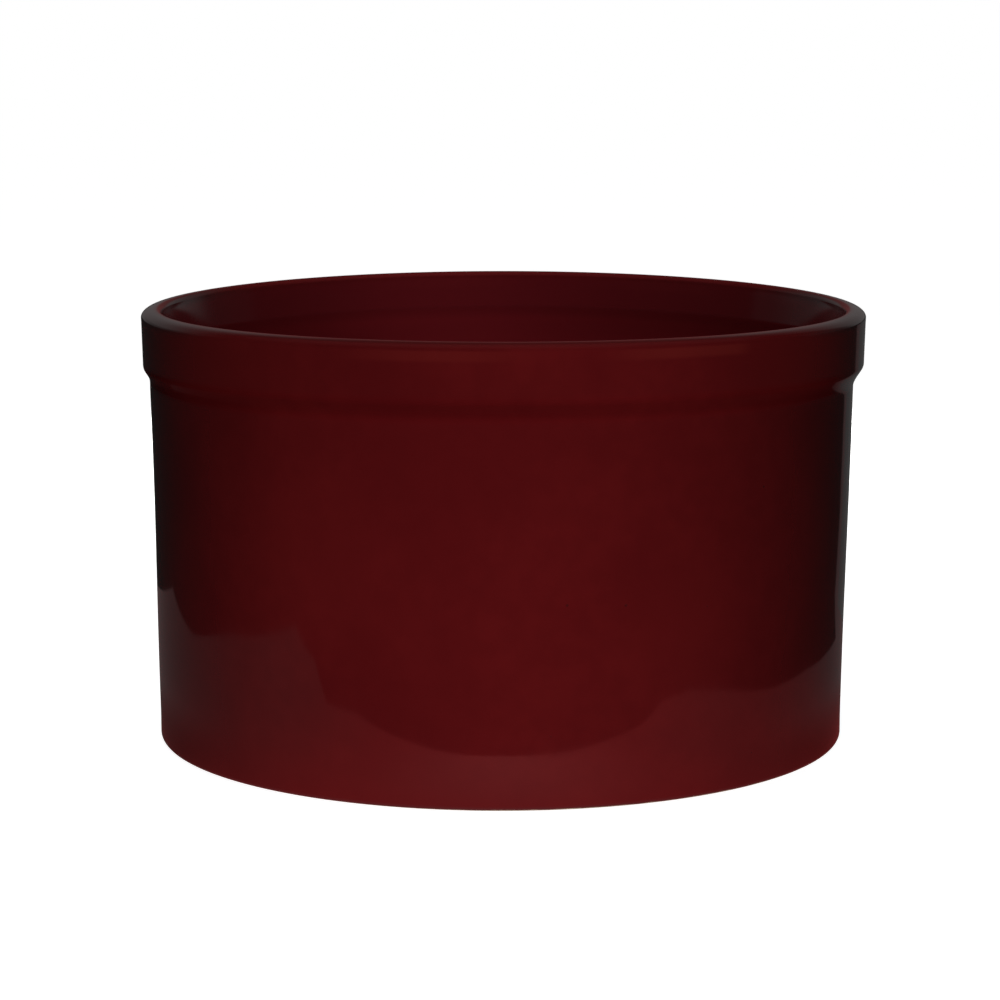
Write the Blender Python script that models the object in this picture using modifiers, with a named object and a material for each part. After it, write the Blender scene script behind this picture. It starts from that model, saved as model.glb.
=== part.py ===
"""Preserving crock: a low, wide crock of glazed stoneware with a raised band round its rim.

The crock is one fired piece, so it is one object, turned from one outline.
Lengths are in metres and +Z is up. The origin is on the axis, in the plane of the foot.
"""
import math

import bpy

# Overall size
RIM_RADIUS = 0.1370
HEIGHT = 0.1653

# Lip: a rounded inner edge, a narrow flat crest and a shoulder that falls to the band
LIP_WIDTH = 0.0078
LIP_CREST = 0.0016
LIP_INNER_ROUND = 0.0020
SHOULDER_DROP = 0.0030

# Raised band under the lip
BAND_HEIGHT = 0.0240
BAND_TAPER = 0.0004
BAND_STEP = 0.0032
BAND_EDGE_ROUND = 0.0034

# Undercut that brings the band back to the wall, and how far its slant leans from upright
UNDERCUT_COVE = 0.0100
UNDERCUT_LEAN = math.radians(33)

# Wall: thickness, how far it draws in towards the foot, and how far it is hollowed on the way
WALL_THICKNESS = 0.0065
WALL_TAPER = 0.0026
WALL_HOLLOW = 0.0003
FOOT_ROUND = 0.0027

# Floor, its cove to the wall, and the foot ring round the recessed underside
FLOOR_THICKNESS = 0.0085
FLOOR_COVE = 0.0180
FOOT_RING_WIDTH = 0.0100
RECESS_DEPTH = 0.0020
RECESS_SLOPE_RUN = 0.0030

# Glaze, as linear colour
GLAZE_COLOUR = (0.065, 0.004, 0.005, 1.0)
GLAZE_ROUGHNESS = 0.12

# How finely the round stretches are divided
TURN_STEPS = 96
ROUND_STEPS = 5
SMALL_ROUND_STEPS = 3
WALL_STEPS = 6
MERGE_DISTANCE = 0.00001

QUARTER_TURN = math.pi / 2

# Radii and heights that follow from the sizes above
MOUTH_RADIUS = RIM_RADIUS - LIP_WIDTH
BAND_FOOT_RADIUS = RIM_RADIUS - BAND_TAPER
WALL_TOP_RADIUS = BAND_FOOT_RADIUS - BAND_STEP
FLOOR_TOP = RECESS_DEPTH + FLOOR_THICKNESS


def arc(centre, radii, start, end, steps):
    """Points of an ellipse's arc, both ends included, as (radius, height) pairs."""
    points = []
    for index in range(steps + 1):
        angle = start + (end - start) * index / steps
        radius = centre[0] + radii[0] * math.cos(angle)
        height = centre[1] + radii[1] * math.sin(angle)
        points.append((radius, height))
    return points


def undercut_outline():
    """The band's lower edge, the slant under it and the cove that meets the wall."""
    edge_centre = (BAND_FOOT_RADIUS - BAND_EDGE_ROUND, HEIGHT - BAND_HEIGHT + BAND_EDGE_ROUND)
    edge = arc(edge_centre, (BAND_EDGE_ROUND, BAND_EDGE_ROUND), 0, -UNDERCUT_LEAN, SMALL_ROUND_STEPS)
    # The slant takes up what the two rounds leave of the step between the band and the wall.
    slant_run = BAND_STEP - (BAND_EDGE_ROUND + UNDERCUT_COVE) * (1 - math.cos(UNDERCUT_LEAN))
    slant_foot = edge[-1][1] - slant_run / math.tan(UNDERCUT_LEAN)
    cove_centre = (WALL_TOP_RADIUS + UNDERCUT_COVE, slant_foot - UNDERCUT_COVE * math.sin(UNDERCUT_LEAN))
    cove = arc(cove_centre, (UNDERCUT_COVE, UNDERCUT_COVE), math.pi - UNDERCUT_LEAN, math.pi, ROUND_STEPS)
    return edge + cove


def wall_radius(height, wall_top):
    """Outer radius of the wall at a height: a taper that is slightly hollow half way."""
    share = (wall_top - height) / wall_top
    return WALL_TOP_RADIUS - WALL_TAPER * share - WALL_HOLLOW * math.sin(math.pi * share)


def inside_outline(wall_top):
    """From the middle of the floor, round its cove and up the inner wall to the lip."""
    cove_top = FLOOR_TOP + FLOOR_COVE
    cove_radius = wall_radius(cove_top, wall_top) - WALL_THICKNESS
    points = [(0, FLOOR_TOP)]
    points += arc((cove_radius - FLOOR_COVE, cove_top), (FLOOR_COVE, FLOOR_COVE), -QUARTER_TURN, 0, ROUND_STEPS + 1)
    for index in range(1, WALL_STEPS + 1):
        height = cove_top + (wall_top - cove_top) * index / WALL_STEPS
        points.append((wall_radius(height, wall_top) - WALL_THICKNESS, height))
    return points


def lip_outline():
    """The inner round, the flat crest between the two rounds, and the outer shoulder."""
    shoulder_width = LIP_WIDTH - LIP_INNER_ROUND - LIP_CREST
    inner_centre = (MOUTH_RADIUS + LIP_INNER_ROUND, HEIGHT - LIP_INNER_ROUND)
    shoulder_centre = (RIM_RADIUS - shoulder_width, HEIGHT - SHOULDER_DROP)
    inner = arc(inner_centre, (LIP_INNER_ROUND, LIP_INNER_ROUND), math.pi, QUARTER_TURN, SMALL_ROUND_STEPS)
    shoulder = arc(shoulder_centre, (shoulder_width, SHOULDER_DROP), QUARTER_TURN, 0, ROUND_STEPS + 1)
    return inner + shoulder


def outside_outline(wall_top):
    """From under the band's cove down the wall to the round above the foot ring."""
    points = []
    for index in range(1, WALL_STEPS):
        height = wall_top + (FOOT_ROUND - wall_top) * index / WALL_STEPS
        points.append((wall_radius(height, wall_top), height))
    foot_centre = (wall_radius(FOOT_ROUND, wall_top) - FOOT_ROUND, FOOT_ROUND)
    points += arc(foot_centre, (FOOT_ROUND, FOOT_ROUND), 0, -QUARTER_TURN, ROUND_STEPS)
    return points


def underside_outline(ring_outer_radius):
    """The inner edge of the flat foot ring, the slope behind it and the recessed middle."""
    ring_inner_radius = ring_outer_radius - FOOT_RING_WIDTH
    return [
        (ring_inner_radius, 0),
        (ring_inner_radius - RECESS_SLOPE_RUN, RECESS_DEPTH),
        (0, RECESS_DEPTH),
    ]


def crock_outline():
    """The whole half section, from the floor's middle over the lip to the underside's middle."""
    undercut = undercut_outline()
    wall_top = undercut[-1][1]
    outside = outside_outline(wall_top)
    ring_outer_radius = outside[-1][0]
    return inside_outline(wall_top) + lip_outline() + undercut + outside + underside_outline(ring_outer_radius)


def glaze_material():
    """Deep red, glassy glaze."""
    material = bpy.data.materials.new("red_glaze")
    material.use_nodes = True
    shader = material.node_tree.nodes["Principled BSDF"]
    shader.inputs["Base Color"].default_value = GLAZE_COLOUR
    shader.inputs["Roughness"].default_value = GLAZE_ROUGHNESS
    shader.inputs["Metallic"].default_value = 0
    return material


def turned_object(name, outline, collection):
    """An object whose outline in the XZ plane is turned round the Z axis by a Screw modifier."""
    mesh = bpy.data.meshes.new(name)
    points = [(radius, 0, height) for radius, height in outline]
    edges = [(index, index + 1) for index in range(len(points) - 1)]
    mesh.from_pydata(points, edges, [])
    turned = bpy.data.objects.new(name, mesh)
    collection.objects.link(turned)
    screw = turned.modifiers.new("turn", "SCREW")
    screw.axis = "Z"
    screw.steps = TURN_STEPS
    screw.render_steps = TURN_STEPS
    screw.use_merge_vertices = True
    screw.merge_threshold = MERGE_DISTANCE
    screw.use_smooth_shade = True
    return turned


def main():
    for old in list(bpy.data.objects):
        bpy.data.objects.remove(old)
    collection = bpy.data.collections.new("preserving_crock")
    bpy.context.scene.collection.children.link(collection)
    crock = turned_object("crock_body", crock_outline(), collection)
    crock.data.materials.append(glaze_material())


main()
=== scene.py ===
"""The looks of the preserving crock: glossy burgundy glaze over stoneware, on a pale studio floor.

Lengths are in metres, colours are linear and +Z is up. The crock stands on the floor with its axis at
the origin, and the camera looks along +Y.
"""
import math

import bpy
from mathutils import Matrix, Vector, noise


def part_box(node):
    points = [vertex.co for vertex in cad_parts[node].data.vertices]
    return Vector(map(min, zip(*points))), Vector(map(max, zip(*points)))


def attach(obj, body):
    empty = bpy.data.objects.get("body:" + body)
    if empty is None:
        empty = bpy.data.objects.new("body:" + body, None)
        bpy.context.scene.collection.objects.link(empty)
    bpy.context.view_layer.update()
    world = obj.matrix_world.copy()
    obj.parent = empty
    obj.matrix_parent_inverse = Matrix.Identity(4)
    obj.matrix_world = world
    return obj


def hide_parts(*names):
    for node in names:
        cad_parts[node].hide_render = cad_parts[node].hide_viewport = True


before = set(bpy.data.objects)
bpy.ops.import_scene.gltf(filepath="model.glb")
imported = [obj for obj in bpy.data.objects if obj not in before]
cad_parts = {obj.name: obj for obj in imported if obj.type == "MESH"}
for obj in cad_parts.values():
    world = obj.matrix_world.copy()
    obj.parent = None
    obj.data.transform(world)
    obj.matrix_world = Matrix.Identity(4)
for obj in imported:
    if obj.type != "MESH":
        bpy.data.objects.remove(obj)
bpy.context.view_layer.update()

MM = 0.001

# Overall size, from the frame
RIM_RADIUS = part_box("crock_body")[1].x
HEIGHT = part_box("crock_body")[1].z

# Lip: a rounded inner edge, a narrow flat crest and a shoulder that falls to the band
LIP_WIDTH = 7.8 * MM
LIP_CREST = 0.2 * MM
LIP_INNER_ROUND = 2.1 * MM
SHOULDER_DROP = 3.0 * MM

# Raised band under the lip
BAND_HEIGHT = 23.3 * MM
BAND_TAPER = 0.4 * MM
BAND_STEP = 3.2 * MM
BAND_EDGE_ROUND = 3.4 * MM

# Undercut that brings the band back to the wall
UNDERCUT_COVE = 10.0 * MM
UNDERCUT_LEAN = math.radians(33)

# Wall
WALL_THICKNESS = 6.5 * MM
WALL_TAPER = 2.6 * MM
WALL_HOLLOW = 0.08 * MM
FOOT_ROUND = 1.9 * MM

# Flare of the inner wall up to the lip
FLARE_DEPTH = 14.5 * MM
FLARE_WIDTH = 2.9 * MM

# Floor, its cove to the wall, and the foot ring round the recessed underside
FLOOR_TOP = 10.5 * MM
FLOOR_COVE = 18.0 * MM
FOOT_RING_WIDTH = 10.0 * MM
RECESS_DEPTH = 2.0 * MM
RECESS_SLOPE_RUN = 3.0 * MM

# How the firing left the crock a little out of true
WALL_TOP_SHIFT = -0.68 * MM
FOOT_SHIFT = -1.09 * MM
WALL_BEND = 0.15 * MM
RIM_SAG = 1.00 * MM
RIM_TILT = 0.95 * MM
BAND_DROOP = 0.95 * MM
WAVE_DEPTH = 0.10 * MM
WAVE_LENGTH = 62 * MM
RIPPLE_DEPTH = 0.025 * MM
RIPPLE_LENGTH = 14 * MM

# How finely the mesh is divided
TURN_STEPS = 288
ROUND_STEPS = 10
WALL_STEPS = 44
FLAT_STEPS = 14

QUARTER_TURN = math.pi / 2

MOUTH_RADIUS = RIM_RADIUS - LIP_WIDTH
BAND_FOOT_RADIUS = RIM_RADIUS - BAND_TAPER
WALL_TOP_RADIUS = BAND_FOOT_RADIUS - BAND_STEP
BAND_FOOT_HEIGHT = HEIGHT - BAND_HEIGHT


def arc(centre, radii, start, end, steps=ROUND_STEPS):
    """Points of an ellipse's arc, both ends included, as (radius, height) pairs."""
    points = []
    for index in range(steps + 1):
        angle = start + (end - start) * index / steps
        points.append((centre[0] + radii[0] * math.cos(angle), centre[1] + radii[1] * math.sin(angle)))
    return points


def straight(start, end, steps):
    """Points between two points, both left out."""
    points = []
    for index in range(1, steps):
        share = index / steps
        points.append((start[0] + (end[0] - start[0]) * share, start[1] + (end[1] - start[1]) * share))
    return points


def undercut_outline():
    """The band's lower edge, the slant under it and the cove that meets the wall."""
    edge_centre = (BAND_FOOT_RADIUS - BAND_EDGE_ROUND, BAND_FOOT_HEIGHT + BAND_EDGE_ROUND)
    edge = arc(edge_centre, (BAND_EDGE_ROUND, BAND_EDGE_ROUND), 0, -UNDERCUT_LEAN)
    slant_run = BAND_STEP - (BAND_EDGE_ROUND + UNDERCUT_COVE) * (1 - math.cos(UNDERCUT_LEAN))
    slant_foot = edge[-1][1] - slant_run / math.tan(UNDERCUT_LEAN)
    cove_centre = (WALL_TOP_RADIUS + UNDERCUT_COVE, slant_foot - UNDERCUT_COVE * math.sin(UNDERCUT_LEAN))
    cove = arc(cove_centre, (UNDERCUT_COVE, UNDERCUT_COVE), math.pi - UNDERCUT_LEAN, math.pi)
    return edge + cove


UNDERCUT = undercut_outline()
WALL_TOP_HEIGHT = UNDERCUT[-1][1]


def wall_radius(height):
    """Outer radius of the wall at a height: a taper that is slightly hollow half way."""
    share = (WALL_TOP_HEIGHT - height) / WALL_TOP_HEIGHT
    return WALL_TOP_RADIUS - WALL_TAPER * share - WALL_HOLLOW * math.sin(math.pi * share)


def inside_outline():
    """From the floor's middle, round its cove and up the inner wall to the lip."""
    cove_top = FLOOR_TOP + FLOOR_COVE
    cove_centre = (wall_radius(cove_top) - WALL_THICKNESS - FLOOR_COVE, cove_top)
    cove = arc(cove_centre, (FLOOR_COVE, FLOOR_COVE), -QUARTER_TURN, 0)
    points = straight((0, FLOOR_TOP), cove[0], FLAT_STEPS) + cove
    for index in range(1, WALL_STEPS + 1):
        height = cove_top + (WALL_TOP_HEIGHT - cove_top) * index / WALL_STEPS
        points.append((wall_radius(height) - WALL_THICKNESS, height))
    return points


def lip_outline():
    """The inner round, the crest between the two rounds, and the outer shoulder."""
    shoulder_width = LIP_WIDTH - LIP_INNER_ROUND - LIP_CREST
    inner_centre = (MOUTH_RADIUS + LIP_INNER_ROUND, HEIGHT - LIP_INNER_ROUND)
    shoulder_centre = (RIM_RADIUS - shoulder_width, HEIGHT - SHOULDER_DROP)
    inner = arc(inner_centre, (LIP_INNER_ROUND, LIP_INNER_ROUND), math.pi, QUARTER_TURN)
    shoulder = arc(shoulder_centre, (shoulder_width, SHOULDER_DROP), QUARTER_TURN, 0, 2 * ROUND_STEPS)
    return inner + shoulder


def outside_outline():
    """From under the band's cove down the wall to the round above the foot ring."""
    points = []
    for index in range(1, WALL_STEPS):
        height = WALL_TOP_HEIGHT + (FOOT_ROUND - WALL_TOP_HEIGHT) * index / WALL_STEPS
        points.append((wall_radius(height), height))
    foot_centre = (wall_radius(FOOT_ROUND) - FOOT_ROUND, FOOT_ROUND)
    return points + arc(foot_centre, (FOOT_ROUND, FOOT_ROUND), 0, -QUARTER_TURN)


def crock_outline():
    """The whole half section but its two ends on the axis."""
    inside = inside_outline()
    lip = lip_outline()
    outside = outside_outline()
    ring_inner_radius = outside[-1][0] - FOOT_RING_WIDTH
    ring_edge = (ring_inner_radius, 0)
    recess_edge = (ring_inner_radius - RECESS_SLOPE_RUN, RECESS_DEPTH)
    flare = (lip[0][0] - FLARE_WIDTH, HEIGHT - FLARE_DEPTH)
    outline = inside + straight(inside[-1], flare, ROUND_STEPS // 2) + [flare]
    outline += straight(flare, lip[0], ROUND_STEPS) + lip
    outline += straight(lip[-1], UNDERCUT[0], ROUND_STEPS) + UNDERCUT + outside
    outline += straight(outside[-1], ring_edge, ROUND_STEPS // 2) + [ring_edge]
    outline += straight(ring_edge, recess_edge, ROUND_STEPS // 2) + [recess_edge]
    return outline + straight(recess_edge, (0, RECESS_DEPTH), FLAT_STEPS)


def smooth_share(value, low, high):
    """0 below low, 1 above high and a smooth rise between them."""
    share = min(max((value - low) / (high - low), 0), 1)
    return share * share * (3 - 2 * share)


def out_of_true(radius, height, angle):
    """The place of a point of the outline, turned by the angle, on the crock as the firing left it."""
    direction = Vector((math.cos(angle), math.sin(angle), 0))

    # Shallow waves and ripples that only press inwards, and die out at the foot and on the lip
    wave_place = direction * RIM_RADIUS + Vector((0, 0, height))
    wave = (noise.noise(wave_place / WAVE_LENGTH) - 1) * WAVE_DEPTH
    wave += (noise.noise(wave_place / RIPPLE_LENGTH) - 1) * RIPPLE_DEPTH
    wavy = smooth_share(height, 0, FLOOR_TOP) * (1 - smooth_share(height, HEIGHT - 2 * SHOULDER_DROP, HEIGHT))
    point = direction * (radius + wave * wavy * smooth_share(radius, 0, MOUTH_RADIUS))

    # The wall leans and bends sideways under the band
    wall_share = min(height / WALL_TOP_HEIGHT, 1)
    shift = FOOT_SHIFT + (WALL_TOP_SHIFT - FOOT_SHIFT) * wall_share - WALL_BEND * math.sin(2 * math.pi * wall_share)
    point.x += shift * (1 - smooth_share(height, WALL_TOP_HEIGHT, BAND_FOOT_HEIGHT))

    # The rim sags at both sides and dips towards the front, and the band droops on the left
    rise = smooth_share(height, FOOT_ROUND, WALL_TOP_HEIGHT)
    drop = RIM_SAG * direction.x * direction.x + RIM_TILT * (1 - direction.y) / 2
    near_band_foot = rise * (1 - smooth_share(height, BAND_FOOT_HEIGHT, HEIGHT - SHOULDER_DROP))
    point.z = height - drop * rise - BAND_DROOP * max(-direction.x, 0) * near_band_foot
    return point


def turned_mesh(name, outline):
    """A closed mesh of the outline turned round the axis, a little out of true."""
    vertices = [(0, 0, FLOOR_TOP), (0, 0, RECESS_DEPTH)]
    for radius, height in outline:
        for step in range(TURN_STEPS):
            vertices.append(out_of_true(radius, height, 2 * math.pi * step / TURN_STEPS))
    first_ring = 2
    last_ring = first_ring + TURN_STEPS * (len(outline) - 1)
    faces = []
    for step in range(TURN_STEPS):
        after = (step + 1) % TURN_STEPS
        faces.append((0, first_ring + step, first_ring + after))
        faces.append((1, last_ring + after, last_ring + step))
        for ring in range(first_ring, last_ring, TURN_STEPS):
            above = ring + TURN_STEPS
            faces.append((ring + step, above + step, above + after, ring + after))
    mesh = bpy.data.meshes.new(name)
    mesh.from_pydata(vertices, [], faces)
    mesh.update()
    mesh.shade_smooth()
    return mesh


class Nodes:
    """Adds nodes to a material's tree and joins them up."""

    def __init__(self, material):
        material.use_nodes = True
        self.tree = material.node_tree
        self.shader = self.tree.nodes["Principled BSDF"]

    def add(self, kind, inputs=None, **settings):
        """A new node with its settings, and its inputs set to values or joined to sockets."""
        node = self.tree.nodes.new(kind)
        for name, value in settings.items():
            setattr(node, name, value)
        for name, value in (inputs or {}).items():
            self.join(value, node.inputs[name])
        return node

    def join(self, value, socket):
        """Joins another node's socket to this one, or sets this one to a plain value."""
        if isinstance(value, bpy.types.NodeSocket):
            self.tree.links.new(value, socket)
        else:
            socket.default_value = value

    def place(self):
        """Where the shaded point lies on its object."""
        return self.add("ShaderNodeTexCoord").outputs["Object"]

    def parts(self, vector):
        """The X, Y and Z of a vector."""
        return self.add("ShaderNodeSeparateXYZ", {"Vector": vector}).outputs

    def length(self, vector):
        return self.add("ShaderNodeVectorMath", {0: vector}, operation="LENGTH").outputs["Value"]

    def distance(self, place, centre):
        return self.add("ShaderNodeVectorMath", {0: place, 1: centre}, operation="DISTANCE").outputs["Value"]

    def math(self, operation, first, second=0.0):
        return self.add("ShaderNodeMath", {0: first, 1: second}, operation=operation).outputs[0]

    def total(self, first, second):
        return self.math("ADD", first, second)

    def product(self, first, *others):
        """All the values multiplied, from the first on."""
        result = first
        for other in others:
            result = self.math("MULTIPLY", result, other)
        return result

    def opposite(self, share):
        """1 less the share."""
        return self.math("SUBTRACT", 1.0, share)

    def rise(self, value, start, end):
        """0 where the value is at start, 1 where it is at end, with a smooth rise between."""
        inputs = {"Value": value, "From Min": start, "From Max": end}
        return self.add("ShaderNodeMapRange", inputs, interpolation_type="SMOOTHSTEP").outputs["Result"]

    def stretch(self, value, start, full, fade, end):
        """0 up to start, 1 from full to fade and 0 again from end."""
        return self.product(self.rise(value, start, full), self.rise(value, end, fade))

    def noise(self, place, size, detail=2.0):
        """Noise whose blotches are about as wide as size."""
        return self.add("ShaderNodeTexNoise", {"Vector": place, "Scale": 1 / size, "Detail": detail}).outputs["Fac"]

    def mix(self, share, first, second):
        """The first colour where the share is 0, and the second where it is 1."""
        node = self.add("ShaderNodeMix", data_type="RGBA")
        for name, value in (("Factor", share), ("A", first), ("B", second)):
            matching = [s for s in node.inputs if s.name == name and (name == "Factor" or s.type == "RGBA")]
            self.join(value, matching[0])
        return [s for s in node.outputs if s.type == "RGBA"][0]

    def reddened(self, grey, red):
        """A grey with a red part of its own."""
        return self.add("ShaderNodeCombineColor", {"Red": red, "Green": grey, "Blue": grey}).outputs[0]


BLACK = (0, 0, 0, 1)
WHITE = (1, 1, 1, 1)

# From here to the cards, a pair of heights, radii, turns, levels or places gives where a change of colour or
# glow begins and where it is complete. Four give where it begins, is complete, starts to fade and ends.
# A place that is named sideways is the distance from the middle to the left or the right.

# Glaze of the wall: two colours that drift into each other, and a finer mottle
GLAZE_DEEP = (0.070, 0.0033, 0.0041, 1)
GLAZE_CLEAR = (0.082, 0.0041, 0.0048, 1)
DRIFT_SIZE = 55 * MM
DRIFT_LEVELS = (0.35, 0.65)
GLAZE_MOTTLE = (0.062, 0.0028, 0.0036, 1)
MOTTLE_SIZE = 7 * MM
MOTTLE_DETAIL = 3.0
MOTTLE_LEVELS = (0.30, 0.70)
MOTTLE_SHARE = 0.35

# Painted light: patches where the wall is painted lighter, as the turn from the front, the height, the spread and the
# share
GLAZE_PAINTED_LIGHT = (0.104, 0.0056, 0.0060, 1)
PAINTED_LIGHT_PATCHES = [
    (math.radians(-30), 84 * MM, 46 * MM, 0.32),
    (math.radians(30), 62 * MM, 42 * MM, 0.42),
]

# Band: painted shade on its middle and left, and painted light towards both ends
ON_BAND_HEIGHTS = (WALL_TOP_HEIGHT + 2 * MM, BAND_FOOT_HEIGHT + 3 * MM)
BAND_SHADE_X = (60 * MM, 0.0)
BAND_SHADE_SHARE = 0.08
BAND_PAINTED_LIGHT_SIDEWAYS = (70 * MM, 115 * MM)
BAND_PAINTED_LIGHT_SHARE = 0.60

# Undercut: painted shade under the band
UNDERCUT_SHADE_HEIGHTS = (WALL_TOP_HEIGHT + 0.7 * MM, BAND_FOOT_HEIGHT - 1.2 * MM,
                BAND_FOOT_HEIGHT + 1.2 * MM, BAND_FOOT_HEIGHT + 4.6 * MM)
UNDERCUT_SHADE_SHARE = 0.20

# Top of the band: a painted highlight on the right and on the left
GLAZE_PAINTED_HIGHLIGHT = (0.104, 0.0085, 0.0072, 1)
HIGHLIGHT_HEIGHTS = (HEIGHT - 7.2 * MM, HEIGHT - 5.4 * MM, HEIGHT - 3.2 * MM, HEIGHT - 2.2 * MM)
HIGHLIGHT_RIGHT_X = (30 * MM, 58 * MM, 80 * MM, 88 * MM)
HIGHLIGHT_RIGHT_SHARE = 0.60
HIGHLIGHT_LEFT_X = (-65 * MM, -30 * MM, -15 * MM, 15 * MM)
HIGHLIGHT_LEFT_SHARE = 0.35

# Inner wall: painted light makes it lighter below the flare than on it
GLAZE_FLARE = (0.075, 0.0046, 0.0068, 1)
GLAZE_INNER_PAINTED_LIGHT = (0.108, 0.0070, 0.0098, 1)
INSIDE_RADII = (MOUTH_RADIUS + 0.5 * MM, MOUTH_RADIUS - 0.5 * MM)
INSIDE_SHARE = 0.8
UNDER_FLARE_LIGHT_HEIGHTS = (HEIGHT - FLARE_DEPTH, HEIGHT - FLARE_DEPTH - 5 * MM)

# Lip: browner along its crest, mixed with a painted highlight, and a painted dim grey reflection at both ends
GLAZE_LIP_BROWN_AND_HIGHLIGHT = (0.112, 0.010, 0.011, 1)
LIP_HEIGHTS = (HEIGHT - 2.2 * MM, HEIGHT - 0.8 * MM)
LIP_BROWN_AND_HIGHLIGHT_SIDEWAYS = (122 * MM, 88 * MM)
LIP_BROWN_AND_HIGHLIGHT_SHARE = 0.60
LIP_END_PAINTED_REFLECTION = (0.024, 0.014, 0.014, 1)
LIP_END_REFLECTION_HEIGHTS = (HEIGHT - 5 * MM, HEIGHT - 2 * MM)
LIP_END_REFLECTION_SIDEWAYS = (104 * MM, 128 * MM)
LIP_END_REFLECTION_SHARE = 0.60

# Painted contact shade along the edge of the foot
FOOT_EDGE_PAINTED_SHADE = (0.045, 0.020, 0.022, 1)
FOOT_SHADE_HEIGHTS = (2.0 * MM, 0.5 * MM)
FOOT_SHADE_SHARE = 0.40

# Scattered pinholes, with their levels and chance as shares of a cell, and three larger pits,
# as the turn from the front and the height
GLAZE_PIT = (0.020, 0.004, 0.004, 1)
PIT_SHARE = 0.6
PINHOLE_CELL = 9 * MM
PINHOLE_LEVELS = (0.040, 0.022)
PINHOLE_CHANCE = 0.82
PIT_PLACES = [
    (math.radians(10.0), 73 * MM),
    (math.radians(19.2), 72 * MM),
    (math.radians(44.4), 109 * MM),
]
PIT_RADIUS = 0.65 * MM

# Bare clay under the foot ring and in the recess, inside a wavering edge of the glaze
CLAY_DARK = (0.36, 0.27, 0.19, 1)
CLAY_PALE = (0.47, 0.37, 0.27, 1)
CLAY_SPECK = (0.10, 0.06, 0.04, 1)
GRAIN_SIZE = 1.3 * MM
GRAIN_DETAIL = 4.0
GRAIN_LEVELS = (0.35, 0.65)
SPECK_SIZE = 0.9 * MM
SPECK_DETAIL = 1.0
SPECK_LEVELS = (0.70, 0.76)
WAVER_SIZE = 9 * MM
WAVER_DEPTH = 0.9 * MM
GLAZE_EDGE_HEIGHTS = (0.35 * MM, 0.65 * MM)
RING_OUTER_RADIUS = wall_radius(FOOT_ROUND) - FOOT_ROUND
GLAZE_EDGE_RADII = (RING_OUTER_RADIUS + 1.0 * MM, RING_OUTER_RADIUS + 1.6 * MM)
BARE_RECESS_TOP = RECESS_DEPTH + 0.4 * MM
BARE_RECESS_RADIUS = RING_OUTER_RADIUS - FOOT_RING_WIDTH / 2

# Roughness: the least and the most of it in the faint smears on the glaze, and what the inside and the lip add
GLAZE_ROUGHNESS = (0.045, 0.09)
SMEAR_SIZE = 24 * MM
SMEAR_DETAIL = 4.0
SMEAR_LEVELS = (0.3, 0.7)
INSIDE_ROUGHNESS = 0.08
LIP_ROUGHNESS = 0.10
CLAY_ROUGHNESS = 0.85

# Strength of the mirror image, which the undercut all but loses
GLAZE_IOR = 1.5
SPECULAR = 0.5
DULL_SHARE = 0.49
DULL_HEIGHTS = (WALL_TOP_HEIGHT, WALL_TOP_HEIGHT + 2.5 * MM, BAND_FOOT_HEIGHT + 3 * MM, BAND_FOOT_HEIGHT + 5.5 * MM)
DULL_X = (131 * MM, 118 * MM)

# Relief of the surface: orange peel, pits and grain, as shares of its depth
RELIEF_DEPTH = 0.25 * MM
RELIEF_STRENGTH = 0.6
PEEL_SIZE = 2.2 * MM
PEEL_DETAIL = 1.5
PEEL_RELIEF = 0.02
PIT_RELIEF = 0.5
GRAIN_RELIEF = 0.6


class CrockPlaces:
    """Where the shaded point of the crock lies, and how far it belongs to the inside and to the lip."""

    def __init__(self, nodes):
        self.point = nodes.place()
        parts = nodes.parts(self.point)
        self.x = parts["X"]
        self.height = parts["Z"]
        self.sideways = nodes.math("ABSOLUTE", self.x)
        flat = nodes.add("ShaderNodeCombineXYZ", {"X": parts["X"], "Y": parts["Y"]}).outputs[0]
        self.radius = nodes.length(flat)
        self.inside = nodes.rise(self.radius, *INSIDE_RADII)

        # Height on the rim and on the band before the firing let them sag, tilt and droop
        direction = nodes.add("ShaderNodeVectorMath", {0: flat}, operation="NORMALIZE").outputs["Vector"]
        turned = nodes.parts(direction)
        sag = nodes.product(turned["X"], turned["X"], RIM_SAG)
        tilt = nodes.product(nodes.opposite(turned["Y"]), RIM_TILT / 2)
        self.rim_height = nodes.total(self.height, nodes.total(sag, tilt))
        droop = nodes.product(nodes.math("MINIMUM", turned["X"], 0.0), BAND_DROOP)
        self.band_height = nodes.math("SUBTRACT", self.rim_height, droop)
        self.lip = nodes.rise(self.rim_height, *LIP_HEIGHTS)


def wall_place(turn, height):
    """The point of the outer wall at a turn from the front and a height."""
    return (wall_radius(height) * math.sin(turn) + FOOT_SHIFT, -wall_radius(height) * math.cos(turn), height)


def wall_glaze(nodes, at):
    """Broad cloudy drifts, a finer mottle and a few patches of painted light."""
    drift = nodes.rise(nodes.noise(at.point, DRIFT_SIZE), *DRIFT_LEVELS)
    mottle = nodes.rise(nodes.noise(at.point, MOTTLE_SIZE, MOTTLE_DETAIL), *MOTTLE_LEVELS)
    glaze = nodes.mix(drift, GLAZE_DEEP, GLAZE_CLEAR)
    glaze = nodes.mix(nodes.product(mottle, MOTTLE_SHARE), glaze, GLAZE_MOTTLE)
    # Painted light: lighter patches that stand in for light falling on the wall
    for turn, height, spread, share in PAINTED_LIGHT_PATCHES:
        light_patch = nodes.rise(nodes.distance(at.point, wall_place(turn, height)), spread, 0.0)
        glaze = nodes.mix(nodes.product(light_patch, share), glaze, GLAZE_PAINTED_LIGHT)
    return glaze


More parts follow.
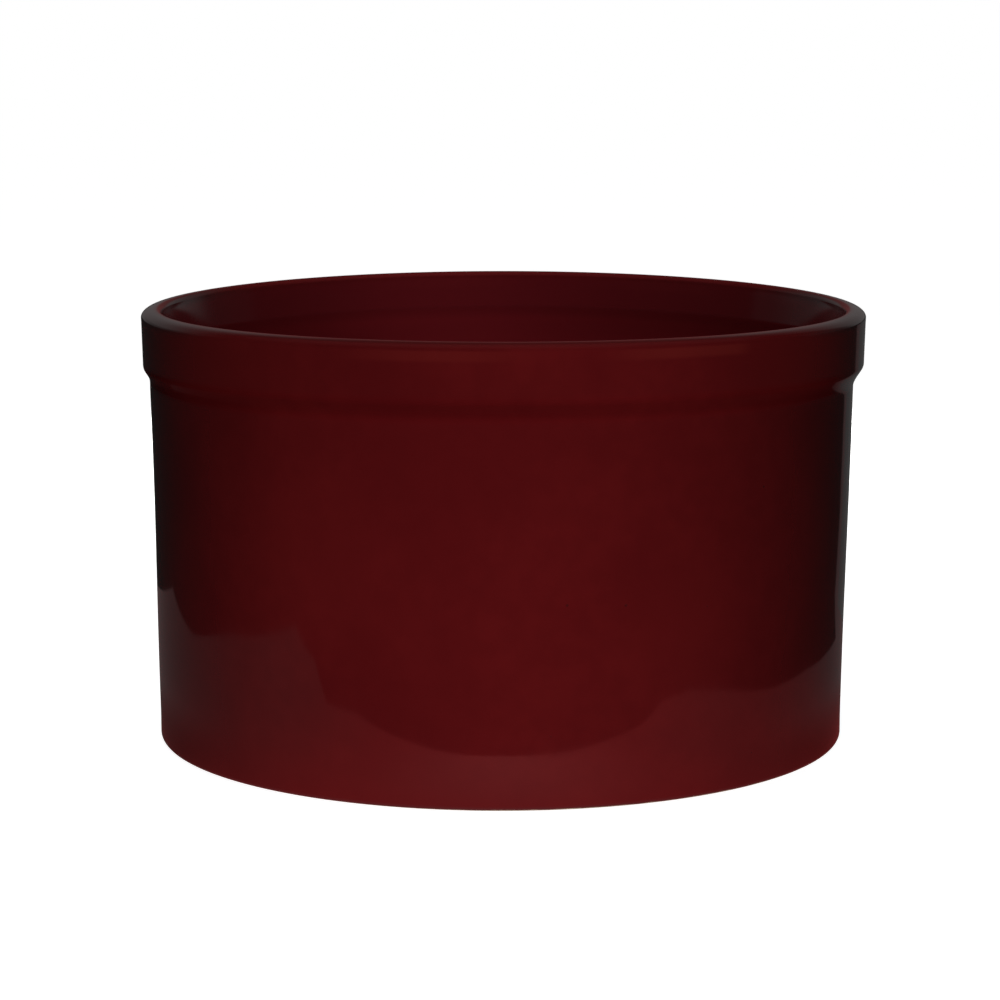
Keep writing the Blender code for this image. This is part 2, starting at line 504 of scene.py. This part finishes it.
def band_glaze(nodes, at, glaze):
    """The glaze, with painted shade on the band's middle and left and in the undercut, painted light towards the
    band's ends and a painted highlight along its top.
    """
    on_band = nodes.rise(at.band_height, *ON_BAND_HEIGHTS)
    # Painted shade on the band's middle and left
    band_shade = nodes.product(nodes.rise(at.x, *BAND_SHADE_X), BAND_SHADE_SHARE)
    glaze = nodes.mix(nodes.product(on_band, band_shade), glaze, BLACK)
    # Painted light on the band towards both ends
    light = nodes.product(nodes.rise(at.sideways, *BAND_PAINTED_LIGHT_SIDEWAYS), BAND_PAINTED_LIGHT_SHARE)
    glaze = nodes.mix(nodes.product(on_band, light), glaze, GLAZE_PAINTED_LIGHT)
    # Painted shade in the undercut under the band
    undercut_shade = nodes.product(nodes.stretch(at.band_height, *UNDERCUT_SHADE_HEIGHTS), UNDERCUT_SHADE_SHARE)
    glaze = nodes.mix(undercut_shade, glaze, BLACK)
    # Painted highlight along the top of the band
    highlight_right = nodes.product(nodes.stretch(at.x, *HIGHLIGHT_RIGHT_X), HIGHLIGHT_RIGHT_SHARE)
    highlight_left = nodes.product(nodes.stretch(at.x, *HIGHLIGHT_LEFT_X), HIGHLIGHT_LEFT_SHARE)
    top_highlight = nodes.product(nodes.total(highlight_right, highlight_left), nodes.stretch(at.rim_height, *HIGHLIGHT_HEIGHTS))
    return nodes.mix(top_highlight, glaze, GLAZE_PAINTED_HIGHLIGHT)


def edge_glaze(nodes, at, glaze):
    """The glaze, changed on the inner wall with painted light below the flare, on the lip with a browner crest mixed
    with a painted highlight and a painted grey reflection at its ends, and with painted shade along the edge of the
    foot.
    """
    # Painted light on the inner wall below the flare
    inner = nodes.mix(nodes.rise(at.rim_height, *UNDER_FLARE_LIGHT_HEIGHTS), GLAZE_FLARE, GLAZE_INNER_PAINTED_LIGHT)
    glaze = nodes.mix(nodes.product(at.inside, INSIDE_SHARE), glaze, inner)
    # Browner crest where the glaze breaks, mixed with a painted highlight
    brown_and_highlight = nodes.product(nodes.rise(at.sideways, *LIP_BROWN_AND_HIGHLIGHT_SIDEWAYS), LIP_BROWN_AND_HIGHLIGHT_SHARE)
    glaze = nodes.mix(nodes.product(at.lip, brown_and_highlight), glaze, GLAZE_LIP_BROWN_AND_HIGHLIGHT)
    # Painted dim grey reflection at the lip's ends
    end = nodes.product(nodes.rise(at.sideways, *LIP_END_REFLECTION_SIDEWAYS), LIP_END_REFLECTION_SHARE)
    glaze = nodes.mix(nodes.product(end, nodes.rise(at.rim_height, *LIP_END_REFLECTION_HEIGHTS)), glaze, LIP_END_PAINTED_REFLECTION)
    # Painted shade along the edge of the foot
    foot_shade = nodes.product(nodes.rise(at.height, *FOOT_SHADE_HEIGHTS), FOOT_SHADE_SHARE)
    return nodes.mix(foot_shade, glaze, FOOT_EDGE_PAINTED_SHADE)


def pit_share(nodes, at):
    """1 in the pinholes and pits, and 0 elsewhere."""
    inputs = {"Vector": at.point, "Scale": 1 / PINHOLE_CELL}
    cells = nodes.add("ShaderNodeTexVoronoi", inputs, feature="F1").outputs
    pit = nodes.rise(cells["Distance"], *PINHOLE_LEVELS)
    chance = nodes.add("ShaderNodeSeparateColor", {"Color": cells["Color"]}).outputs[0]
    pit = nodes.product(pit, nodes.math("GREATER_THAN", chance, PINHOLE_CHANCE))
    for turn, height in PIT_PLACES:
        away = nodes.distance(at.point, wall_place(turn, height))
        pit = nodes.math("MAXIMUM", pit, nodes.rise(away, PIT_RADIUS, PIT_RADIUS / 3))
    return pit


def bare_share(nodes, at):
    """1 where the clay is bare, and 0 where it is glazed."""
    waver = nodes.product(nodes.math("SUBTRACT", nodes.noise(at.point, WAVER_SIZE), 0.5), WAVER_DEPTH)
    low = nodes.opposite(nodes.rise(nodes.total(at.height, waver), *GLAZE_EDGE_HEIGHTS))
    under = nodes.opposite(nodes.rise(at.radius, *GLAZE_EDGE_RADII))
    in_recess = nodes.product(nodes.math("LESS_THAN", at.height, BARE_RECESS_TOP),
                              nodes.math("LESS_THAN", at.radius, BARE_RECESS_RADIUS))
    return nodes.math("MAXIMUM", nodes.product(low, under), in_recess)


def glaze_material():
    """Burgundy glaze with painted shade in the undercut and along the foot, painted light and highlights, a lip that
    breaks browner, and bare clay under the foot.
    """
    material = bpy.data.materials.new("burgundy_glaze")
    nodes = Nodes(material)
    at = CrockPlaces(nodes)
    shader = nodes.shader.inputs

    # Colour
    glaze = edge_glaze(nodes, at, band_glaze(nodes, at, wall_glaze(nodes, at)))
    pit = pit_share(nodes, at)
    glaze = nodes.mix(nodes.product(pit, PIT_SHARE), glaze, GLAZE_PIT)
    grain = nodes.rise(nodes.noise(at.point, GRAIN_SIZE, GRAIN_DETAIL), *GRAIN_LEVELS)
    speck = nodes.rise(nodes.noise(at.point, SPECK_SIZE, SPECK_DETAIL), *SPECK_LEVELS)
    clay = nodes.mix(speck, nodes.mix(grain, CLAY_DARK, CLAY_PALE), CLAY_SPECK)
    bare = bare_share(nodes, at)
    nodes.join(nodes.mix(bare, glaze, clay), shader["Base Color"])

    # Gloss: glassy with faint smears, hardly mirroring in the undercut, and dull on the clay
    smear = nodes.noise(at.point, SMEAR_SIZE, SMEAR_DETAIL)
    inputs = {"Value": smear, "From Min": SMEAR_LEVELS[0], "From Max": SMEAR_LEVELS[1],
              "To Min": GLAZE_ROUGHNESS[0], "To Max": GLAZE_ROUGHNESS[1]}
    rough = nodes.add("ShaderNodeMapRange", inputs).outputs["Result"]
    rough = nodes.total(rough, nodes.product(at.inside, INSIDE_ROUGHNESS))
    rough = nodes.total(rough, nodes.product(at.lip, LIP_ROUGHNESS))
    rough = nodes.add("ShaderNodeMix", {"Factor": bare, "A": rough, "B": CLAY_ROUGHNESS}, data_type="FLOAT").outputs[0]
    nodes.join(rough, shader["Roughness"])
    shader["IOR"].default_value = GLAZE_IOR
    dull = nodes.product(nodes.stretch(at.band_height, *DULL_HEIGHTS), DULL_SHARE, nodes.rise(at.x, *DULL_X))
    nodes.join(nodes.math("SUBTRACT", SPECULAR, dull), shader["Specular IOR Level"])

    # Relief
    peel = nodes.product(nodes.noise(at.point, PEEL_SIZE, PEEL_DETAIL), PEEL_RELIEF)
    relief = nodes.math("SUBTRACT", peel, nodes.product(pit, PIT_RELIEF))
    relief = nodes.total(relief, nodes.product(grain, bare, GRAIN_RELIEF))
    inputs = {"Height": relief, "Distance": RELIEF_DEPTH, "Strength": RELIEF_STRENGTH}
    nodes.join(nodes.add("ShaderNodeBump", inputs).outputs["Normal"], shader["Normal"])
    return material


def make_crock():
    mesh = turned_mesh("glazed_crock", crock_outline())
    crock = bpy.data.objects.new("glazed_crock", mesh)
    bpy.context.scene.collection.objects.link(crock)
    mesh.materials.append(glaze_material())
    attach(crock, "root")
    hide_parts("crock_body")


# Camera: where the photograph was taken from, with its lens and sensor in millimetres
CAMERA_DISTANCE = 1.2166
CAMERA_HEIGHT = 0.2839
CAMERA_SIDE = -0.0013
CAMERA_TILT = math.radians(9.104)
CAMERA_LENS = 115.65
CAMERA_SENSOR = 36


def make_camera():
    data = bpy.data.cameras.new("camera")
    data.sensor_width = CAMERA_SENSOR
    data.lens = CAMERA_LENS
    camera = bpy.data.objects.new("camera", data)
    camera.location = (CAMERA_SIDE, -CAMERA_DISTANCE, CAMERA_HEIGHT)
    camera.rotation_euler = (QUARTER_TURN - CAMERA_TILT, 0, 0)
    bpy.context.scene.collection.objects.link(camera)
    bpy.context.scene.camera = camera


def glowing_material(name, strength):
    """Black and dull, so that all it shows is its own glow."""
    material = bpy.data.materials.new(name)
    shader = Nodes(material).shader.inputs
    shader["Base Color"].default_value = BLACK
    shader["Specular IOR Level"].default_value = 0
    shader["Emission Color"].default_value = WHITE
    shader["Emission Strength"].default_value = strength
    return material


# Glow of the paper on the table: its grey is brightest in a pool in front of the crock, and rises a little
# towards the front
SHEET_POOL_CENTRE = (0.005, -0.195, 0)
SHEET_POOL_RADIUS = 0.11
SHEET_POOL_GREY = 0.098
SHEET_LEAST_GREY = 0.058
SHEET_FRONT_GREY = 0.016
SHEET_FRONT_Y = (-0.08, -0.15)

# Its red fades to the left, to the right in two steps, and to the back
SHEET_RED = 0.61
SHEET_LEAST_RED = 0.084
SHEET_LEFT_X = (-0.30, -0.02)
SHEET_RIGHT_X = (0.02, 0.15)
SHEET_RIGHT_LOSS = 0.50
SHEET_FAR_RIGHT_X = (0.15, 0.22)
SHEET_FAR_RIGHT_LOSS = 0.17
SHEET_BACK_Y = (0.09, -0.14)

# Close to the crock's sides it lies in shade, which leaves some of the red on the right
SHADE_RADII = (0.19, 0.135)
SHADE_Y = (-0.11, -0.04)
SHADE_SHARE = 0.58
SHADE_RED_X = (0.05, 0.12)
SHADE_RED_KEPT = 0.30


def lit_sheet_material():
    """Paper that the front of the crock lights red, brightest at the middle and dim close to its sides."""
    material = glowing_material("lit_sheet", 1.0)
    nodes = Nodes(material)
    place = nodes.place()
    parts = nodes.parts(place)
    pool = nodes.rise(nodes.distance(place, SHEET_POOL_CENTRE), SHEET_POOL_RADIUS, 0.0)
    grey = nodes.total(nodes.product(pool, SHEET_POOL_GREY), SHEET_LEAST_GREY)
    grey = nodes.total(grey, nodes.product(nodes.rise(parts["Y"], *SHEET_FRONT_Y), SHEET_FRONT_GREY))
    left = nodes.rise(parts["X"], *SHEET_LEFT_X)
    right = nodes.opposite(nodes.product(nodes.rise(parts["X"], *SHEET_RIGHT_X), SHEET_RIGHT_LOSS))
    far_right = nodes.product(nodes.rise(parts["X"], *SHEET_FAR_RIGHT_X), SHEET_FAR_RIGHT_LOSS)
    right = nodes.math("SUBTRACT", right, far_right)
    red = nodes.product(nodes.product(left, left), nodes.product(right, SHEET_RED))
    red = nodes.total(nodes.product(red, nodes.rise(parts["Y"], *SHEET_BACK_Y)), SHEET_LEAST_RED)
    near = nodes.product(nodes.rise(nodes.length(place), *SHADE_RADII), nodes.rise(parts["Y"], *SHADE_Y))
    shade = nodes.opposite(nodes.product(near, SHADE_SHARE))
    kept = nodes.product(near, nodes.product(nodes.rise(parts["X"], *SHADE_RED_X), SHADE_RED_KEPT))
    red = nodes.product(red, nodes.total(shade, kept))
    nodes.join(nodes.reddened(nodes.product(grey, shade), red), nodes.shader.inputs["Emission Color"])
    return material


# Glow of the backdrop, by the turn from straight behind the crock and the height. A reach just over 1 leaves a
# trace of the red at the sides
BACKDROP_SIDE_TURNS = (math.radians(6.5), math.radians(14))
BACKDROP_GREY = 0.045
BACKDROP_SIDE_GREY = 0.090
BACKDROP_RED = 0.094
BACKDROP_RED_REACH = 1.03
BACKDROP_RIGHT_END_TURNS = (math.radians(38), math.radians(52))
BACKDROP_RIGHT_END_LOSS = 0.78
BACKDROP_LEFT_END_TURNS = (math.radians(-46), math.radians(-68))
BACKDROP_LEFT_END_LOSS = 0.63
BACKDROP_FADE_HEIGHTS = (1.45, 0.50)
BACKDROP_LOW_LEFT_TURNS = (math.radians(-10), math.radians(-45))
BACKDROP_LOW_LEFT_HEIGHTS = (0.50, 0.34)
BACKDROP_LOW_LEFT_LOSS = 0.46


def backdrop_material():
    """A dim backdrop: reddest straight behind the crock, brighter to both sides, fading upwards and at its ends."""
    material = glowing_material("dim_backdrop", 1.0)
    nodes = Nodes(material)
    parts = nodes.parts(nodes.place())
    turn = nodes.math("ARCTAN2", parts["X"], parts["Y"])
    side = nodes.rise(nodes.math("ABSOLUTE", turn), *BACKDROP_SIDE_TURNS)
    right_end = nodes.product(nodes.rise(turn, *BACKDROP_RIGHT_END_TURNS), BACKDROP_RIGHT_END_LOSS)
    left_end = nodes.product(nodes.rise(turn, *BACKDROP_LEFT_END_TURNS), BACKDROP_LEFT_END_LOSS)
    kept = nodes.opposite(nodes.total(right_end, left_end))
    fade = nodes.product(kept, nodes.rise(parts["Z"], *BACKDROP_FADE_HEIGHTS))
    low_left = nodes.product(nodes.rise(turn, *BACKDROP_LOW_LEFT_TURNS), BACKDROP_LOW_LEFT_LOSS,
                             nodes.rise(parts["Z"], *BACKDROP_LOW_LEFT_HEIGHTS))
    fade = nodes.product(fade, nodes.opposite(low_left))
    grey = nodes.product(nodes.total(nodes.product(side, BACKDROP_SIDE_GREY), BACKDROP_GREY), fade)
    redder = nodes.product(nodes.math("SUBTRACT", BACKDROP_RED_REACH, side), BACKDROP_RED)
    red = nodes.total(grey, nodes.product(redder, fade))
    nodes.join(nodes.reddened(grey, red), nodes.shader.inputs["Emission Color"])
    return material


# Floor: half its width, how far it lies under the foot, and its glow close to the crock and what is added far off
FLOOR_HALF = 40
FLOOR_SINK = 0.1 * MM
FLOOR_COLOUR = (0.50, 0.50, 0.50, 1)
FLOOR_ROUGHNESS = 0.9
FLOOR_NEAR_GLOW = 0.92
FLOOR_FAR_GLOW = 0.08
FLOOR_FAR_RADII = (2 * RIM_RADIUS, 6 * RIM_RADIUS)


def level_square(half, height):
    """The corners of a level square round the axis."""
    return [(-half, -half, height), (half, -half, height), (half, half, height), (-half, half, height)]


def make_floor():
    """A wide pale floor that glows faintly, so that only the shadow close to the crock shows on it."""
    material = bpy.data.materials.new("pale_floor")
    nodes = Nodes(material)
    shader = nodes.shader.inputs
    far = nodes.rise(nodes.length(nodes.place()), *FLOOR_FAR_RADII)
    nodes.join(nodes.total(nodes.product(far, FLOOR_FAR_GLOW), FLOOR_NEAR_GLOW), shader["Emission Strength"])
    shader["Emission Color"].default_value = WHITE
    shader["Base Color"].default_value = FLOOR_COLOUR
    shader["Roughness"].default_value = FLOOR_ROUGHNESS
    shader["Specular IOR Level"].default_value = 0
    mesh = bpy.data.meshes.new("floor")
    mesh.from_pydata(level_square(FLOOR_HALF, 0), [], [(0, 1, 2, 3)])
    mesh.materials.append(material)
    floor = bpy.data.objects.new("floor", mesh)
    floor.location.z = -FLOOR_SINK
    floor.visible_diffuse = False
    floor.visible_glossy = False
    floor.visible_shadow = False
    bpy.context.scene.collection.objects.link(floor)


def make_card(name, corners, faces, material, seen_by_diffuse=False):
    """A studio card, out of the camera's sight, that the glaze reflects."""
    mesh = bpy.data.meshes.new(name)
    mesh.from_pydata(corners, [], faces)
    mesh.materials.append(material)
    card = bpy.data.objects.new(name, mesh)
    card.visible_camera = False
    card.visible_shadow = False
    card.visible_diffuse = seen_by_diffuse
    bpy.context.scene.collection.objects.link(card)
    return card


# Outline of the paper on the table, which runs out to the right behind the crock
SHEET = [
    (-0.335, -0.205), (-0.255, -0.212), (-0.180, -0.188), (-0.145, -0.206), (-0.040, -0.202), (0.000, -0.203),
    (0.040, -0.198), (0.126, -0.196), (0.168, -0.201), (0.205, -0.180), (0.222, -0.137), (0.236, -0.042),
    (0.245, 0.015), (0.236, 0.083), (0.220, 0.136), (0.285, 0.205), (0.420, 0.450), (1.120, 1.600), (0.000, 1.600),
    (-0.100, 0.450), (-0.200, 0.290), (-0.335, 0.200), (-0.310, 0.060), (-0.342, -0.050),
]
SHEET_HEIGHT = 0.3 * MM

# Backdrop, curved round the crock's axis, with the turn of each end from straight behind, in degrees
BACKDROP_RADIUS = 1.4
BACKDROP_LOW = 0.16
BACKDROP_HIGH = 1.5
BACKDROP_TURN = 75
BACKDROP_STEPS = 30

# Small upright card behind the crock on the right
RIGHT_CARD_LEFT = 0.11
RIGHT_CARD_RIGHT = 0.25
RIGHT_CARD_Y = 0.20
RIGHT_CARD_TOP = 0.15
RIGHT_CARD_GLOW = 0.07

# Card that lies under the floor and lights the crock from below, as a pale table does
BOUNCE_HALF = 0.22
BOUNCE_HEIGHT = -0.5 * MM
BOUNCE_GLOW = 0.38


def backdrop_mesh():
    """The corners and faces of the curved backdrop."""
    corners = []
    faces = []
    for step in range(BACKDROP_STEPS + 1):
        turn = math.radians(BACKDROP_TURN * (2 * step / BACKDROP_STEPS - 1))
        for height in (BACKDROP_LOW, BACKDROP_HIGH):
            corners.append((BACKDROP_RADIUS * math.sin(turn), BACKDROP_RADIUS * math.cos(turn), height))
    for first in range(0, 2 * BACKDROP_STEPS, 2):
        faces.append((first, first + 2, first + 3, first + 1))
    return corners, faces


def make_cards():
    """Paper on the table, a curved backdrop and a small card that the glaze mirrors, and one that only lights it."""
    sheet = [(x, y, SHEET_HEIGHT) for x, y in SHEET]
    make_card("sheet_card", sheet, [tuple(range(len(SHEET)))], lit_sheet_material())
    make_card("backdrop_card", *backdrop_mesh(), backdrop_material())
    right = []
    for x, z in ((RIGHT_CARD_LEFT, 0), (RIGHT_CARD_RIGHT, 0),
                 (RIGHT_CARD_RIGHT, RIGHT_CARD_TOP), (RIGHT_CARD_LEFT, RIGHT_CARD_TOP)):
        right.append((x, RIGHT_CARD_Y, z))
    make_card("right_card", right, [(0, 1, 2, 3)], glowing_material("right_glow", RIGHT_CARD_GLOW))
    bounce = level_square(BOUNCE_HALF, BOUNCE_HEIGHT)
    glow = glowing_material("bounce_glow", BOUNCE_GLOW)
    card = make_card("bounce_card", bounce, [(0, 1, 2, 3)], glow, seen_by_diffuse=True)
    card.visible_glossy = False


# Radius of the spots, which softens their shadows
SPOT_RADIUS = 0.03


def hang_light(data, place, target, power):
    """Aims a light that the glaze doesn't mirror."""
    data.energy = power
    data.cycles.use_multiple_importance_sampling = False
    light = bpy.data.objects.new(data.name, data)
    light.location = place
    light.rotation_euler = (Vector(target) - Vector(place)).to_track_quat("-Z", "Y").to_euler()
    light.visible_glossy = False
    bpy.context.scene.collection.objects.link(light)


def make_softbox(name, place, target, size, power):
    data = bpy.data.lights.new(name, "AREA")
    data.shape = "RECTANGLE"
    data.size = size[0]
    data.size_y = size[1]
    hang_light(data, place, target, power)


def make_spot(name, place, target, angle, power):
    """A round light that fades from the middle of its beam to the edge."""
    data = bpy.data.lights.new(name, "SPOT")
    data.spot_size = math.radians(angle)
    data.spot_blend = 1.0
    data.shadow_soft_size = SPOT_RADIUS
    hang_light(data, place, target, power)


# Lights: the kind, the name, where it hangs, where it aims, the size or the beam in degrees, and the power in watts
LIGHTS = [
    (make_softbox, "front_softbox", (-0.01, -0.55, 0.07), (0, 0, 0.08), (0.20, 0.10), 1.76),
    (make_spot, "inside_spot", (0.10, -0.80, 0.60), (-0.015, 0.125, 0.180), 21, 13.6),
    (make_spot, "accent_spot", (0.10, -0.80, 0.52), (-0.024, 0.125, 0.15), 7, 8.0),
    (make_softbox, "top_softbox", (0, 0, 1.10), (0, 0, 0), (0.50, 0.50), 4.0),
    (make_softbox, "back_left_softbox", (-0.36, 0.88, 0.20), (0, 0, 0.08), (0.40, 0.25), 3.2),
    (make_softbox, "back_right_softbox", (0.36, 0.88, 0.20), (0, 0, 0.08), (0.40, 0.25), 3.2),
    (make_spot, "front_well_spot", (0, -0.35, 1.10), (0, 0, HEIGHT), 14, 8.0),
    (make_spot, "back_well_spot", (0, 0.35, 1.10), (0, 0, HEIGHT), 14, 8.0),
]

# How bright the room is in what it lights, in what the glaze reflects and to the camera
AMBIENT_LIGHT = 0.012
AMBIENT_REFLECTION = 0.012
AMBIENT_SIGHT = 1.0


def make_room():
    """A white room that the camera sees at full strength, and that hardly lights the crock."""
    world = bpy.data.worlds.new("studio")
    bpy.context.scene.world = world
    world.use_nodes = True
    tree = world.node_tree
    path = tree.nodes.new("ShaderNodeLightPath")
    seen = tree.nodes["Background"]
    seen.inputs["Strength"].default_value = AMBIENT_LIGHT
    for kind, strength in (("Is Glossy Ray", AMBIENT_REFLECTION), ("Is Camera Ray", AMBIENT_SIGHT)):
        other = tree.nodes.new("ShaderNodeBackground")
        other.inputs["Color"].default_value = WHITE
        other.inputs["Strength"].default_value = strength
        choice = tree.nodes.new("ShaderNodeMixShader")
        tree.links.new(path.outputs[kind], choice.inputs[0])
        tree.links.new(seen.outputs[0], choice.inputs[1])
        tree.links.new(other.outputs[0], choice.inputs[2])
        seen = choice
    tree.links.new(seen.outputs[0], tree.nodes["World Output"].inputs["Surface"])


bpy.context.scene.view_settings.view_transform = "Standard"
make_camera()
make_crock()
make_floor()
make_cards()
for make_light, *settings in LIGHTS:
    make_light(*settings)
make_room()
